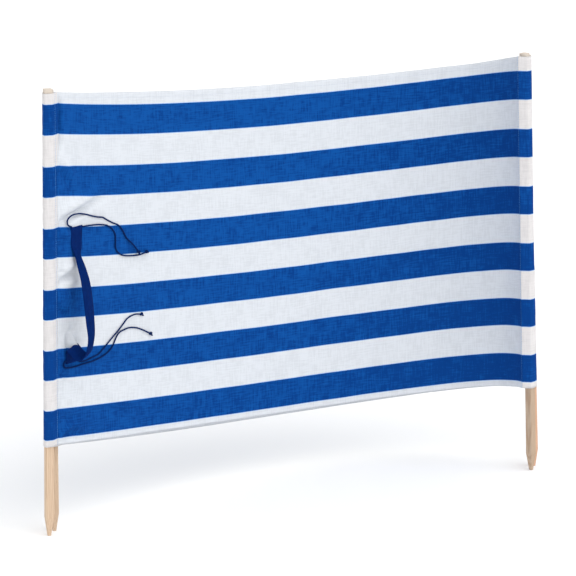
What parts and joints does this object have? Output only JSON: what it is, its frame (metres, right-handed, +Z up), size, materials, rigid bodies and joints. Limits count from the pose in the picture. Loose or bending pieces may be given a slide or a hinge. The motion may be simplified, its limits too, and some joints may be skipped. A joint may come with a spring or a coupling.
{
  "type": "beach windbreak",
  "caption": "Beach windbreak: striped cloth hung between pointed wooden stakes in sewn sleeves, its bays folded one behind the other, with a webbing carrying strap.",
  "frame": {"origin": "the blunt foot of the front left stake", "axes": "+X along the bay towards the right-hand stake, +Y to the back, where the cloth bellies out, +Z up the stake"},
  "size_m": [1.2612, 0.3103, 1.0047],
  "materials": {
    "stake_wood": "planed pine, unfinished",
    "white_cloth": "woven polyester cotton, matt",
    "blue_cloth": "woven polyester cotton, matt",
    "navy_webbing": "woven polypropylene webbing",
    "navy_cord": "braided cord"
  },
  "bodies": {
    "root": {"stake_1": "stake_wood", "stake_2": "stake_wood", "stake_3": "stake_wood", "stake_4": "stake_wood", "sleeve_1_white": "white_cloth", "sleeve_1_blue": "blue_cloth", "sleeve_2_white": "white_cloth", "sleeve_2_blue": "blue_cloth", "sleeve_3_white": "white_cloth", "sleeve_3_blue": "blue_cloth", "sleeve_4_white": "white_cloth", "sleeve_4_blue": "blue_cloth", "bay_1_white": "white_cloth", "bay_1_blue": "blue_cloth", "bay_1_hem_top": "white_cloth", "bay_1_hem_foot": "white_cloth", "bay_2_white": "white_cloth", "bay_2_blue": "blue_cloth", "bay_2_hem_top": "white_cloth", "bay_2_hem_foot": "white_cloth", "bay_3_white": "white_cloth", "bay_3_blue": "blue_cloth", "bay_3_hem_top": "white_cloth", "bay_3_hem_foot": "white_cloth", "strap": "navy_webbing", "cord_1": "navy_cord", "cord_2": "navy_cord", "cord_3": "navy_cord", "cord_4": "navy_cord", "cord_1_knot": "navy_cord", "cord_2_knot": "navy_cord", "cord_3_knot": "navy_cord", "cord_4_knot": "navy_cord"}
  },
  "joints": []
}
